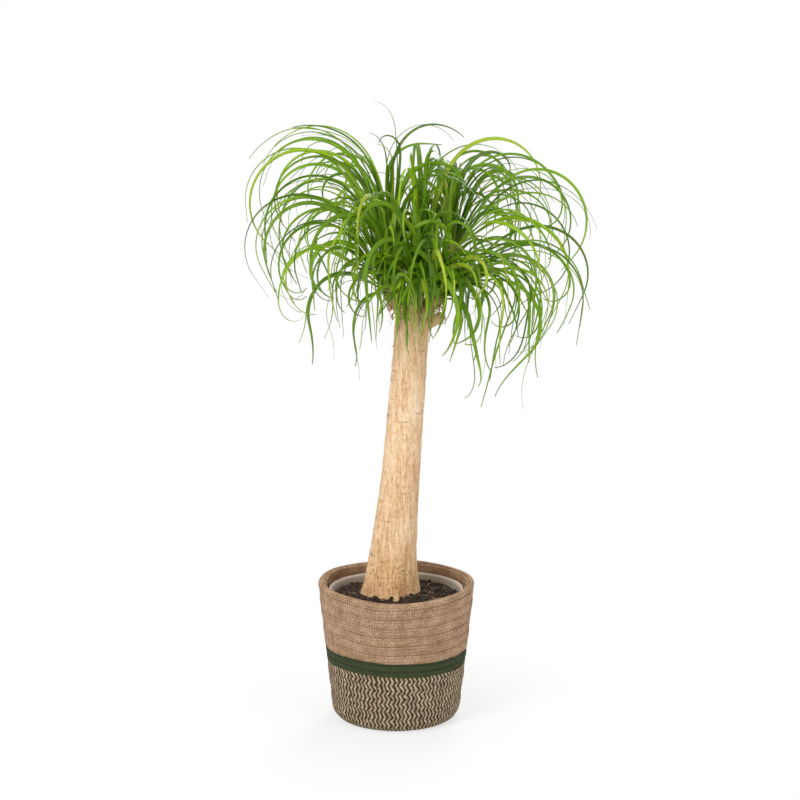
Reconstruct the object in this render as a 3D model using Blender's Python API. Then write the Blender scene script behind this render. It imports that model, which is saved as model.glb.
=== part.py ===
"""A ponytail palm in a nursery pot, standing in a round cover basket of coiled braid.

The origin is the middle of the basket's flat underside, +Z is up and +X is the side
the stem leans to. All sizes are in metres and all angles in degrees.
"""

import math
import random

import bmesh
import bpy
from mathutils import Vector
from mathutils.bvhtree import BVHTree

# ---- driving dimensions -------------------------------------------------------------
GAP = 0.0003                 # clearance left where two pieces touch

BASKET_HEIGHT = 0.199
BASKET_RIM_RADIUS = 0.1095   # widest, just under the rolled rim
BASKET_WAIST_RADIUS = 0.0985
BASKET_WAIST_Z = 0.088
BASKET_HEEL_RADIUS = 0.091   # where the rounded bottom corner begins
BASKET_HEEL_Z = 0.020
BASKET_FLAT_RADIUS = 0.073   # the flat underside
BASKET_WALL = 0.007
BASKET_FLOOR = 0.008
RIM_ROLL_RADIUS = 0.005      # half the thickness of the folded rim

POT_RIM_RADIUS = 0.095
POT_TOP_Z = 0.186
POT_BASE_RADIUS = 0.068
POT_WALL = 0.0016
POT_RIM_DEPTH = 0.010
POT_RIM_STEP = 0.0025        # how far the rim stands out from the wall below it
DRAIN_RADIUS = 0.004
DRAIN_CIRCLE = 0.045
DRAIN_COUNT = 6

SOIL_TOP_Z = 0.173
SOIL_HEAP = 0.005            # how much higher the soil lies against the stem
SOIL_LUMP = 0.0018

TRUNK_SIDES = 24
TRUNK_FOOT_Z = 0.118         # the underside of the buried foot
TRUNK_TOP_Z = 0.572
# height, radius, and how far the middle has moved to the side
TRUNK_RINGS = [
    (TRUNK_FOOT_Z, 0.024, -0.009),
    (0.128, 0.037, -0.010),
    (0.145, 0.044, -0.010),
    (0.165, 0.0445, -0.010),
    (0.180, 0.0415, -0.0095),
    (0.200, 0.0375, -0.0080),
    (0.222, 0.0345, -0.0062),
    (0.250, 0.0325, -0.0036),
    (0.290, 0.0296, 0.0008),
    (0.340, 0.0272, 0.0058),
    (0.400, 0.0258, 0.0106),
    (0.460, 0.0251, 0.0152),
    (0.520, 0.0238, 0.0196),
    (0.556, 0.0245, 0.0222),
    (TRUNK_TOP_Z, 0.0225, 0.0232),
]
ROOT_LOBES = 5               # soft ridges where the foot spreads into roots
ROOT_LOBE_DEPTH = 0.10       # share of the radius, fading out up the stem
ROOT_FADE_Z = 0.10

HEAD_RADIUS = 0.0135         # the knob of packed leaf bases at a shoot's tip
NECK_RADIUS = 0.0085
SHOOT_SIDES = 12
# the middle of each head, all on short necks grown from the top of the stem
SHOOTS = {
    "front_right": (0.058, -0.022, 0.600),
    "front_left": (-0.008, -0.016, 0.606),
    "front_middle": (0.027, -0.036, 0.606),
    "back_right": (0.078, 0.020, 0.662),
    "back_left": (-0.004, 0.026, 0.646),
    "back_middle": (0.036, 0.034, 0.640),
}
STUB_RADIUS = 0.007          # a shoot that was cut off, low on the front right
STUB_FROM = (0.038, -0.012, 0.560)
STUB_TO = (0.064, -0.030, 0.578)

LEAF_SEGMENTS = 13
LEAF_THICKNESS = 0.0010
LEAF_FOLD = 0.22             # depth of the channel along the middle, as a share of the half width
LEAF_BASE_WIDTH = 0.0065
LEAF_TIP_WIDTH = 0.0012
LEAF_NARROWS_AT = 0.55       # share of the length where the taper to the tip begins
ARCH_EASE = 0.6              # how gently the lower part passes into the arch, 0 to 1
SEAT_BLEND = 0.16            # share of the length in which a leaf turns from its seat to its way
HOOK_FROM = 0.72             # share of the length where a hooked tip begins to curl
SEATS_PER_HEAD = 22
SEAT_LOWEST = -12            # how far below level the lowest leaf base points
SEAT_REACH = 48              # how far a leaf may turn between its seat and its own way

# Each leaf: shoot, azimuth it flies to, rise at the start, length of the straighter lower part,
# radius of the arch, how far the arch bends in all, length that hangs on below the arch, width,
# turn to the side, roll, and the extra bend of a hooked tip.
LEAVES = [
    # the tall ones
    ("back_left", 185, 94, 0.110, 0.450, 15, 0.004, 0.007, 0, 20, 85),
    ("back_left", 5, 97, 0.135, 0.046, 160, 0.0, 0.008, 0, 10, 0),
    ("back_left", 178, 73, 0.175, 0.024, 170, 0.0, 0.007, 0, 10, 0),
    # high arcs to the left
    ("back_left", 176, 74, 0.120, 0.088, 134, 0.0, 0.006, 0, 20, 0),
    ("back_left", 190, 80, 0.115, 0.086, 100, 0.0, 0.006, 0, 10, 0),
    ("back_left", 200, 66, 0.115, 0.076, 200, 0.040, 0.009, -8, 10, 0),
    ("back_left", 165, 73, 0.115, 0.076, 205, 0.030, 0.008, 8, 20, 0),
    ("front_left", 172, 73, 0.150, 0.072, 165, 0.030, 0.008, 8, -15, 0),
    ("front_left", 190, 73, 0.118, 0.064, 170, 0.050, 0.009, -6, 20, 0),
    ("front_left", 184, 61, 0.110, 0.072, 185, 0.040, 0.008, 4, 25, 0),
    ("front_left", 205, 59, 0.110, 0.062, 170, 0.050, 0.009, -8, 10, 0),
    ("front_left", 195, 61, 0.073, 0.066, 150, 0.080, 0.009, 6, 15, 170),
    ("front_left", 160, 73, 0.110, 0.052, 185, 0.040, 0.009, 10, -10, 0),
    # low loops to the left
    ("front_left", 212, 37, 0.110, 0.044, 225, 0.0, 0.007, 6, 15, 0),
    ("front_left", 222, 76, 0.065, 0.056, 170, 0.070, 0.011, -10, 0, 0),
    ("front_left", 228, 66, 0.030, 0.040, 160, 0.070, 0.011, -8, 5, 0),
    ("front_left", 205, 30, 0.045, 0.052, 135, 0.060, 0.009, 8, 10, -30),
    ("front_left", 235, 8, 0.020, 0.045, 95, 0.070, 0.009, 6, 0, -30),
    # arcs to the right
    ("back_middle", 8, 78, 0.120, 0.068, 200, 0.0, 0.009, 6, 15, 0),
    ("back_right", -8, 82, 0.060, 0.072, 205, 0.020, 0.009, 8, 10, 0),
    ("back_right", 5, 55, 0.095, 0.070, 190, 0.030, 0.008, -6, -10, 0),
    ("back_right", 18, 67, 0.062, 0.078, 160, 0.040, 0.008, 8, 10, 0),
    ("back_right", -20, 50, 0.088, 0.082, 130, 0.0, 0.006, -4, 5, 0),
    ("front_right", 0, 45, 0.115, 0.066, 160, 0.050, 0.008, 6, -15, 0),
    ("front_right", -15, 38, 0.100, 0.070, 135, 0.060, 0.009, -6, 10, 0),
    ("back_right", -32, 34, 0.060, 0.078, 130, 0.060, 0.011, 6, 10, 0),
    ("front_right", 14, 36, 0.075, 0.058, 140, 0.080, 0.009, 8, 5, 30),
    ("front_right", -30, 32, 0.065, 0.052, 125, 0.070, 0.011, -6, -8, 0),
    # hanging low on the right
    ("front_right", -8, 42, 0.065, 0.060, 155, 0.140, 0.009, 6, 10, -40),
    ("front_right", -42, 28, 0.030, 0.050, 135, 0.070, 0.010, 6, 10, 0),
    ("front_right", -54, 6, 0.020, 0.040, 92, 0.100, 0.011, 0, 0, 70),
    # hanging in front
    ("front_left", 252, 80, 0.090, 0.052, 170, 0.060, 0.011, -8, 5, 0),
    ("front_middle", 236, 72, 0.045, 0.045, 165, 0.090, 0.011, -10, -5, 0),
    ("front_middle", 262, 60, 0.015, 0.028, 150, 0.050, 0.009, 8, 8, 0),
    ("front_middle", 288, 50, 0.012, 0.026, 140, 0.035, 0.009, 0, 0, 0),
    ("front_middle", 240, 18, 0.030, 0.042, 70, 0.030, 0.010, -6, 0, 0),
    ("back_middle", 284, 86, 0.125, 0.036, 165, 0.0, 0.010, 8, 10, 0),
    ("front_right", 262, 84, 0.090, 0.030, 130, 0.0, 0.010, 0, 5, 0),
    ("front_right", 300, 56, 0.040, 0.046, 150, 0.060, 0.011, -8, 0, 0),
    ("front_middle", 300, 76, 0.075, 0.052, 165, 0.060, 0.011, 10, 5, 0),
    ("front_right", 336, 58, 0.060, 0.056, 155, 0.070, 0.010, 10, -8, 0),
    ("front_middle", 266, 72, 0.110, 0.074, 165, 0.050, 0.011, -6, 8, 0),
    # over the back
    ("back_right", 60, 88, 0.080, 0.032, 125, 0.0, 0.010, 0, 5, 0),
    ("back_right", 118, 84, 0.088, 0.028, 115, 0.0, 0.010, 0, -5, 0),
    ("back_middle", 90, 74, 0.110, 0.076, 175, 0.040, 0.010, 8, 10, 0),
    ("back_middle", 62, 66, 0.085, 0.074, 170, 0.050, 0.010, 10, 5, 0),
    ("back_middle", 130, 58, 0.075, 0.070, 165, 0.060, 0.010, -10, -10, 0),
    ("back_left", 118, 70, 0.095, 0.072, 175, 0.060, 0.009, -10, 10, 0),
    ("back_left", 95, 50, 0.060, 0.062, 150, 0.080, 0.010, 8, 5, 0),
    ("back_right", 50, 60, 0.075, 0.068, 160, 0.070, 0.010, 10, -5, 0),
    ("back_right", 100, 74, 0.075, 0.064, 170, 0.060, 0.010, -8, 5, 0),
    ("back_middle", 100, 34, 0.040, 0.056, 130, 0.090, 0.010, -8, 5, 0),
]
FILL_LEAVES = 3              # further leaves, spread round the heads by a fixed seed
FILL_SEED = 31
FILL_TRIES = 400

# ---- colours: linear base colour, roughness, metallic -------------------------------
FINISH = {
    "basket": ((0.36, 0.22, 0.12), 0.90, 0.0),
    "nursery_pot": ((0.48, 0.43, 0.38), 0.55, 0.0),
    "soil": ((0.035, 0.020, 0.012), 0.95, 0.0),
    "trunk": ((0.78, 0.56, 0.33), 0.80, 0.0),
    "leaf": ((0.16, 0.34, 0.01), 0.38, 0.0),
}


def clear_scene():
    for item in list(bpy.data.objects):
        bpy.data.objects.remove(item, do_unlink=True)


def finish(name, kind):
    colour, roughness, metallic = FINISH[kind]
    material = bpy.data.materials.new(name)
    material.use_nodes = True
    shader = material.node_tree.nodes["Principled BSDF"]
    shader.inputs["Base Color"].default_value = (*colour, 1.0)
    shader.inputs["Roughness"].default_value = roughness
    shader.inputs["Metallic"].default_value = metallic
    return material


def add_piece(name, bm, kind, sharp_over=40):
    bmesh.ops.recalc_face_normals(bm, faces=bm.faces)
    mesh = bpy.data.meshes.new(name)
    bm.to_mesh(mesh)
    bm.free()
    mesh.shade_smooth()
    mesh.set_sharp_from_angle(angle=math.radians(sharp_over))
    piece = bpy.data.objects.new(name, mesh)
    piece.data.materials.append(finish(name, kind))
    bpy.context.scene.collection.objects.link(piece)
    return piece


def loft(bm, rings):
    """Skins a list of rings of points, with a flat face on each end."""
    skins = [[bm.verts.new(point) for point in ring] for ring in rings]
    sides = len(skins[0])
    for low, high in zip(skins, skins[1:]):
        for i in range(sides):
            j = (i + 1) % sides
            bm.faces.new((low[i], low[j], high[j], high[i]))
    bm.faces.new(list(reversed(skins[0])))
    bm.faces.new(skins[-1])
    return skins


def turn_profile(bm, profile, sides):
    """Turns (radius, height) points round Z. The first and last points lie on the axis."""
    first = bm.verts.new((0.0, 0.0, profile[0][1]))
    last = bm.verts.new((0.0, 0.0, profile[-1][1]))
    rings = []
    for radius, height in profile[1:-1]:
        ring = []
        for i in range(sides):
            angle = 2 * math.pi * i / sides
            ring.append(bm.verts.new((radius * math.cos(angle), radius * math.sin(angle), height)))
        rings.append(ring)
    for i in range(sides):
        j = (i + 1) % sides
        bm.faces.new((first, rings[0][j], rings[0][i]))
        bm.faces.new((last, rings[-1][i], rings[-1][j]))
        for low, high in zip(rings, rings[1:]):
            bm.faces.new((low[i], low[j], high[j], high[i]))


def arc(centre, radius, start, end, steps):
    """Points of a circular arc in the (radius, height) plane."""
    points = []
    for i in range(steps + 1):
        angle = math.radians(start + (end - start) * i / steps)
        points.append((centre[0] + radius * math.cos(angle), centre[1] + radius * math.sin(angle)))
    return points


# ---- the basket ---------------------------------------------------------------------
def basket_outer(height):
    """Outer radius of the basket wall above its rounded heel."""
    if height < BASKET_WAIST_Z:
        low, high = (BASKET_HEEL_Z, BASKET_HEEL_RADIUS), (BASKET_WAIST_Z, BASKET_WAIST_RADIUS)
    else:
        rim_z = BASKET_HEIGHT - RIM_ROLL_RADIUS
        low, high = (BASKET_WAIST_Z, BASKET_WAIST_RADIUS), (rim_z, BASKET_RIM_RADIUS)
    share = (height - low[0]) / (high[0] - low[0])
    return low[1] + share * (high[1] - low[1])


def make_basket():
    heel = BASKET_HEEL_RADIUS - BASKET_FLAT_RADIUS
    rim_centre = (BASKET_RIM_RADIUS - RIM_ROLL_RADIUS, BASKET_HEIGHT - RIM_ROLL_RADIUS)
    levels = [0.055, BASKET_WAIST_Z, 0.125, 0.160]
    profile = [(0.0, 0.0), (BASKET_FLAT_RADIUS, 0.0)]
    for radius, height in arc((0.0, 0.0), 1.0, -90, 0, 5)[1:]:
        profile.append((BASKET_FLAT_RADIUS + heel * radius, BASKET_HEEL_Z * (1 + height)))
    profile += [(basket_outer(z), z) for z in levels]
    profile += arc(rim_centre, RIM_ROLL_RADIUS, 0, 180, 6)
    inner_top = rim_centre[1] - 0.012
    profile.append((basket_outer(inner_top) - BASKET_WALL, inner_top))
    profile += [(basket_outer(z) - BASKET_WALL, z) for z in reversed(levels)]
    profile.append((basket_outer(BASKET_HEEL_Z) - BASKET_WALL, BASKET_HEEL_Z))
    profile.append((BASKET_FLAT_RADIUS + 0.004, BASKET_FLOOR + 0.003))
    profile.append((BASKET_FLAT_RADIUS, BASKET_FLOOR))
    profile.append((0.0, BASKET_FLOOR))
    bm = bmesh.new()
    turn_profile(bm, profile, 48)
    return add_piece("basket", bm, "basket")


# ---- the nursery pot ----------------------------------------------------------------
POT_BASE_Z = BASKET_FLOOR + GAP
POT_FLOOR_Z = POT_BASE_Z + POT_WALL
POT_NECK_RADIUS = POT_RIM_RADIUS - POT_RIM_STEP


def pot_outer(height):
    share = (height - POT_BASE_Z) / (POT_TOP_Z - POT_BASE_Z)
    return POT_BASE_RADIUS + share * (POT_NECK_RADIUS - POT_BASE_RADIUS)


def make_pot():
    under_rim = POT_TOP_Z - POT_RIM_DEPTH
    lip = POT_WALL / 2
    profile = [(0.0, POT_BASE_Z), (POT_BASE_RADIUS, POT_BASE_Z)]
    profile.append((pot_outer(under_rim), under_rim))
    profile.append((POT_RIM_RADIUS - lip, under_rim))
    profile.append((POT_RIM_RADIUS, POT_TOP_Z - lip))
    profile.append((POT_RIM_RADIUS - lip, POT_TOP_Z))
    profile.append((POT_NECK_RADIUS - POT_WALL, POT_TOP_Z))
    profile.append((pot_outer(under_rim) - POT_WALL, under_rim))
    profile.append((pot_outer(POT_FLOOR_Z) - POT_WALL, POT_FLOOR_Z))
    profile.append((0.0, POT_FLOOR_Z))
    bm = bmesh.new()
    turn_profile(bm, profile, 48)
    pot = add_piece("nursery_pot", bm, "nursery_pot")
    for i in range(DRAIN_COUNT):
        angle = 2 * math.pi * (i + 0.3) / DRAIN_COUNT
        bpy.ops.mesh.primitive_cylinder_add(
            vertices=12, radius=DRAIN_RADIUS, depth=0.02,
            location=(DRAIN_CIRCLE * math.cos(angle), DRAIN_CIRCLE * math.sin(angle), POT_BASE_Z))
        drill = bpy.context.object
        drill.name = f"drain_drill_{i + 1}"
        drill.hide_render = True
        drill.display_type = "WIRE"
        hole = pot.modifiers.new(f"drain_{i + 1}", "BOOLEAN")
        hole.operation = "DIFFERENCE"
        hole.object = drill
    return pot


# ---- the stem -----------------------------------------------------------------------
def trunk_ring(height, radius, shift, grow=0.0):
    """One ring of the stem, lobed near the ground where it spreads into roots."""
    fade = max(0.0, 1.0 - abs(height - SOIL_TOP_Z) / ROOT_FADE_Z)
    points = []
    for i in range(TRUNK_SIDES):
        angle = 2 * math.pi * i / TRUNK_SIDES
        lobe = math.cos(ROOT_LOBES * angle + 0.9) + 0.4 * math.cos(2 * angle + 2.4)
        reach = radius * (1 + ROOT_LOBE_DEPTH * fade * lobe) + grow
        points.append((shift + reach * math.cos(angle), reach * math.sin(angle), height))
    return points


def ball(middle, radius, sides, stacks):
    """Rings of a ball, from just off its lower pole to just off its upper pole."""
    rings = []
    for i in range(stacks + 1):
        tilt = math.pi * (0.06 + 0.88 * i / stacks) - math.pi / 2
        ring = []
        for k in range(sides):
            angle = 2 * math.pi * k / sides
            ring.append((
                middle[0] + radius * math.cos(tilt) * math.cos(angle),
                middle[1] + radius * math.cos(tilt) * math.sin(angle),
                middle[2] + radius * math.sin(tilt)))
        rings.append(ring)
    return rings


def tube(start, end, start_radius, end_radius, sides):
    """Rings of a straight tapered rod."""
    along = (end - start).normalized()
    across = along.cross(Vector((0.0, 1.0, 0.0))).normalized()
    other = along.cross(across)
    rings = []
    for middle, radius in ((start, start_radius), (end, end_radius)):
        ring = []
        for k in range(sides):
            angle = 2 * math.pi * k / sides
            ring.append(middle + radius * (math.cos(angle) * across + math.sin(angle) * other))
        rings.append(ring)
    return rings


def grow_on(stem, name, rings):
    """Joins a shoot's shape to the stem, so that they are one solid."""
    bm = bmesh.new()
    loft(bm, rings)
    bmesh.ops.recalc_face_normals(bm, faces=bm.faces)
    mesh = bpy.data.meshes.new(name)
    bm.to_mesh(mesh)
    bm.free()
    shape = bpy.data.objects.new(name, mesh)
    shape.hide_render = True
    shape.display_type = "WIRE"
    bpy.context.scene.collection.objects.link(shape)
    union = stem.modifiers.new(name, "BOOLEAN")
    union.operation = "UNION"
    union.object = shape


def make_trunk():
    bm = bmesh.new()
    loft(bm, [trunk_ring(*ring) for ring in TRUNK_RINGS])
    stem = add_piece("trunk", bm, "trunk")
    top = Vector((TRUNK_RINGS[-1][2], 0.0, TRUNK_TOP_Z))
    for name, middle in SHOOTS.items():
        head = Vector(middle)
        root = top + 0.35 * Vector((head.x - top.x, head.y - top.y, 0.0))
        root.z = TRUNK_TOP_Z - 0.010
        grow_on(stem, f"{name}_neck", tube(root, head, NECK_RADIUS * 1.3, NECK_RADIUS, SHOOT_SIDES))
        grow_on(stem, f"{name}_head", ball(head, HEAD_RADIUS, SHOOT_SIDES, 8))
    stub = tube(Vector(STUB_FROM), Vector(STUB_TO), STUB_RADIUS * 1.2, STUB_RADIUS, SHOOT_SIDES)
    grow_on(stem, "cut_stub", stub)
    return stem


# ---- the soil -----------------------------------------------------------------------
def make_soil():
    """Fills the pot, with a socket that the foot of the stem stands in."""
    lumps = random.Random(5)
    sides = TRUNK_SIDES * 2
    buried = [ring for ring in TRUNK_RINGS if ring[0] < SOIL_TOP_Z]
    surface = [ring for ring in TRUNK_RINGS if ring[0] > SOIL_TOP_Z][0]
    share = (SOIL_TOP_Z + SOIL_HEAP - buried[-1][0]) / (surface[0] - buried[-1][0])
    lip = tuple(low + share * (high - low) for low, high in zip(buried[-1], surface))

    def doubled(ring):
        """The stem's ring with a point added in the middle of each side."""
        points = []
        for i, point in enumerate(ring):
            after = ring[(i + 1) % len(ring)]
            points.append(Vector(point))
            points.append((Vector(point) + Vector(after)) / 2)
        return points

    clearance = GAP * 1.6
    socket = [doubled(trunk_ring(*ring, clearance)) for ring in buried]
    for point in socket[0]:
        point.z -= clearance
    socket.append(doubled(trunk_ring(*lip, clearance)))

    def circle(radius, height):
        points = []
        for i in range(sides):
            angle = 2 * math.pi * i / sides
            points.append(Vector((radius * math.cos(angle), radius * math.sin(angle), height)))
        return points

    wall = POT_WALL + GAP * 2
    floor_z = POT_FLOOR_Z + GAP
    rings = [circle(pot_outer(floor_z) - wall, floor_z)]
    rim_ring = circle(pot_outer(SOIL_TOP_Z) - wall, SOIL_TOP_Z)
    rings.append(rim_ring)
    steps = 5
    for k in range(1, steps):
        ring = []
        for near, far in zip(socket[-1], rim_ring):
            point = far.lerp(near, k / steps)
            heap = SOIL_HEAP * (k / steps) ** 2
            point.z = SOIL_TOP_Z + heap + lumps.uniform(-SOIL_LUMP, SOIL_LUMP)
            ring.append(point)
        rings.append(ring)
    rings += list(reversed(socket))
    bm = bmesh.new()
    loft(bm, rings)
    return add_piece("soil", bm, "soil")


# ---- the leaves ---------------------------------------------------------------------
def heading(azimuth, rise):
    """Unit vector at an angle round Z and an angle above level."""
    a = math.radians(azimuth)
    r = math.radians(rise)
    return Vector((math.cos(r) * math.cos(a), math.cos(r) * math.sin(a), math.sin(r)))


def head_seats():
    """Directions spread evenly over the upper side of a head, by the golden angle."""
    seats = []
    low = math.sin(math.radians(SEAT_LOWEST))
    for i in range(SEATS_PER_HEAD):
        height = 0.97 - (0.97 - low) * i / (SEATS_PER_HEAD - 1)
        seats.append(heading(137.5 * i, math.degrees(math.asin(height))))
    return seats


def leaf_width(share, width):
    """Narrow where it leaves the shoot, full in the middle, fine at the tip."""
    if share < 0.25:
        return LEAF_BASE_WIDTH + (width - LEAF_BASE_WIDTH) * math.sin(share / 0.25 * math.pi / 2)
    if share < LEAF_NARROWS_AT:
        return width
    left = (1 - share) / (1 - LEAF_NARROWS_AT)
    return LEAF_TIP_WIDTH + (width - LEAF_TIP_WIDTH) * left ** 0.9


def leaf_length(leaf):
    _, _, shaft, radius, bend, drop, _, _, _, _ = leaf
    return shaft + radius * math.radians(bend) + drop


def leaf_way(seat, leaf, share):
    """Direction of a leaf's middle line at a share of its length."""
    azimuth, rise, shaft, radius, _, drop, _, turn, _, hook = leaf
    length = leaf_length(leaf)
    run = min(share * length, length - drop)
    ease = shaft * ARCH_EASE
    u = max(0.0, (run - shaft + ease) / (2 * ease))
    bent = 2 * ease * (u ** 3 - u ** 4 / 2) if u < 1 else run - shaft
    curl = hook * max(0.0, (share - HOOK_FROM) / (1 - HOOK_FROM)) ** 2
    way = heading(azimuth + turn * share, rise - math.degrees(bent / radius) - curl)
    if share < SEAT_BLEND:
        hold = (1 - share / SEAT_BLEND) ** 2
        way = (seat * hold + way * (1 - hold)).normalized()
    return way


def leaf_rings(head, seat, leaf, thicken=0.0):
    """Chevron sections along a leaf's curve, from its seat on the head to its tip."""
    azimuth, _, _, _, _, _, width, turn, roll, _ = leaf
    length = leaf_length(leaf)
    points = [head + (HEAD_RADIUS + GAP) * seat]
    fine = 4
    for k in range(LEAF_SEGMENTS * fine):
        share = (k + 0.5) / (LEAF_SEGMENTS * fine)
        points.append(points[-1] + length / (LEAF_SEGMENTS * fine) * leaf_way(seat, leaf, share))
    rings = []
    side = None
    for i in range(LEAF_SEGMENTS, -1, -1):
        share = i / LEAF_SEGMENTS
        way = leaf_way(seat, leaf, share)
        if side is None or share > SEAT_BLEND:
            side = heading(azimuth + turn * share + 90, 0)
        side = (side - side.dot(way) * way).normalized()
        face = way.cross(side)
        lean = math.radians(roll) * share
        edge = math.cos(lean) * side + math.sin(lean) * face
        up = math.cos(lean) * face - math.sin(lean) * side
        half = leaf_width(share, width) / 2
        fold = LEAF_FOLD * half * up
        thick = (LEAF_THICKNESS / 2 + thicken) * up
        edge = (half + thicken) * edge
        point = points[i * fine]
        rings.append([point - edge + fold, point - thick, point + edge + fold, point + thick])
    return list(reversed(rings))


def ring_tree(rings):
    """A search tree of the skin that a list of rings makes."""
    points = [point for ring in rings for point in ring]
    sides = len(rings[0])
    faces = [tuple(range(sides)), tuple(range(len(points) - sides, len(points)))]
    for r in range(len(rings) - 1):
        for i in range(sides):
            j = (i + 1) % sides
            faces.append((r * sides + i, r * sides + j, (r + 1) * sides + j, (r + 1) * sides + i))
    return BVHTree.FromPolygons(points, faces)


def find_room(shoot, leaf, free, trees):
    """The free seat nearest the leaf's own direction from which it flies clear of the rest."""
    wanted = heading(leaf[0], leaf[1])
    near = [seat for seat in free if seat.angle(wanted) < math.radians(SEAT_REACH)]
    for seat in sorted(near, key=lambda s: s.angle(wanted)):
        loose = ring_tree(leaf_rings(Vector(SHOOTS[shoot]), seat, leaf, GAP))
        if not any(loose.overlap(tree) for tree in trees):
            return seat
    return None


def fill_leaf(spread):
    """One more leaf for a shoot, with sizes like the listed ones."""
    shoot = spread.choice(sorted(SHOOTS))
    rise = spread.uniform(35, 84)
    shaft = 0.02 + 0.001 * rise + spread.uniform(-0.01, 0.01)
    radius = spread.uniform(0.050, 0.076)
    bend = spread.uniform(140, 180)
    drop = spread.uniform(0.02, 0.08)
    outward = math.degrees(math.atan2(SHOOTS[shoot][1], SHOOTS[shoot][0] - TRUNK_RINGS[-1][2]))
    azimuth = outward + spread.gauss(0, 60)
    width = spread.uniform(0.008, 0.011)
    turn = spread.uniform(-12, 12)
    roll = spread.uniform(-20, 20)
    return shoot, (azimuth, rise, shaft, radius, bend, drop, width, turn, roll, 0)


def make_leaves(stem):
    free = {shoot: head_seats() for shoot in SHOOTS}
    trees = [BVHTree.FromObject(stem, bpy.context.evaluated_depsgraph_get())]
    spread = random.Random(FILL_SEED)
    count = 0
    pending = [(leaf[0], leaf[1:]) for leaf in LEAVES]
    wanted = len(pending) + FILL_LEAVES
    for attempt in range(len(pending) + FILL_TRIES):
        if count == wanted:
            break
        shoot, leaf = pending[attempt] if attempt < len(pending) else fill_leaf(spread)
        seat = find_room(shoot, leaf, free[shoot], trees)
        if seat is None:
            if attempt < len(pending):
                print("no room for listed leaf", attempt + 1)
            continue
        free[shoot].remove(seat)
        rings = leaf_rings(Vector(SHOOTS[shoot]), seat, leaf)
        trees.append(ring_tree(rings))
        count += 1
        bm = bmesh.new()
        loft(bm, rings)
        add_piece(f"leaf_{count:02d}", bm, "leaf", sharp_over=60)
    print("leaves placed:", count)


clear_scene()
make_basket()
make_pot()
make_soil()
palm_stem = make_trunk()
make_leaves(palm_stem)
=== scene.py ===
# A ponytail palm in its nursery pot and braided cover basket, dressed for a studio picture.
# All lengths are metres and all angles degrees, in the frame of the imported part.
import math
import random
import bpy
import numpy as np
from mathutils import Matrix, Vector, noise


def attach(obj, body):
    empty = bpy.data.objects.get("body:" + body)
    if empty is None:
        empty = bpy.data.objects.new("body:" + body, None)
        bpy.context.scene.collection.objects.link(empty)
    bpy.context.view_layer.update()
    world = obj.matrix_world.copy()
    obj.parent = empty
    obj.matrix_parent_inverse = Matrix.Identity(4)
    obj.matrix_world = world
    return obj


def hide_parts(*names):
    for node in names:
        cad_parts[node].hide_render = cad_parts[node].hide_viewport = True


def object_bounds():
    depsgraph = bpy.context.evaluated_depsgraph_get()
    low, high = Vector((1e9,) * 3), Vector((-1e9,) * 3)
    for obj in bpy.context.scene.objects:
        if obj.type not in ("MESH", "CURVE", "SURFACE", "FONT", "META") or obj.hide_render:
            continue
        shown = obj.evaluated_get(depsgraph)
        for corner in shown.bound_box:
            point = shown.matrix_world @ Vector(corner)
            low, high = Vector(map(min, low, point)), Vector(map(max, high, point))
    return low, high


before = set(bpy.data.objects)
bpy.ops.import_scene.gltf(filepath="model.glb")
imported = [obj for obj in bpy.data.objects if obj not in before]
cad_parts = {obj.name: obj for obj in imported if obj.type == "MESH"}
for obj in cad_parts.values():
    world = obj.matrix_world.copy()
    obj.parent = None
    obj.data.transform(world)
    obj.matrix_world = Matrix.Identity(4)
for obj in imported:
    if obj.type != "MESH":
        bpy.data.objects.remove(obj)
cadLow, cadHigh = [Vector(corner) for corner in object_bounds()]
print("frame loaded, box", [round(v, 3) for v in cadHigh - cadLow])


class Wire:  # one output socket, so that shader maths reads like plain sums
    def __init__(self, look, socket):
        self.look = look
        self.socket = socket

    def sum(self, operation, *terms):
        return self.look.add("ShaderNodeMath", {"operation": operation}, dict(enumerate(terms)))

    def __add__(self, other): return self.sum("ADD", self, other)
    def __radd__(self, other): return self.sum("ADD", other, self)
    def __sub__(self, other): return self.sum("SUBTRACT", self, other)
    def __rsub__(self, other): return self.sum("SUBTRACT", other, self)
    def __mul__(self, other): return self.sum("MULTIPLY", self, other)
    def __rmul__(self, other): return self.sum("MULTIPLY", other, self)

    def fract(self): return self.sum("FRACT", self)
    def abs(self): return self.sum("ABSOLUTE", self)
    def sin(self): return self.sum("SINE", self)
    def atLeast(self, other): return self.sum("MAXIMUM", self, other)

    def step(self, low, high, start=0.0, end=1.0):  # a smooth rise from start to end
        return self.look.add("ShaderNodeMapRange", {"interpolation_type": "SMOOTHSTEP"},
                             {0: self, 1: low, 2: high, 3: start, 4: end})


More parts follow.
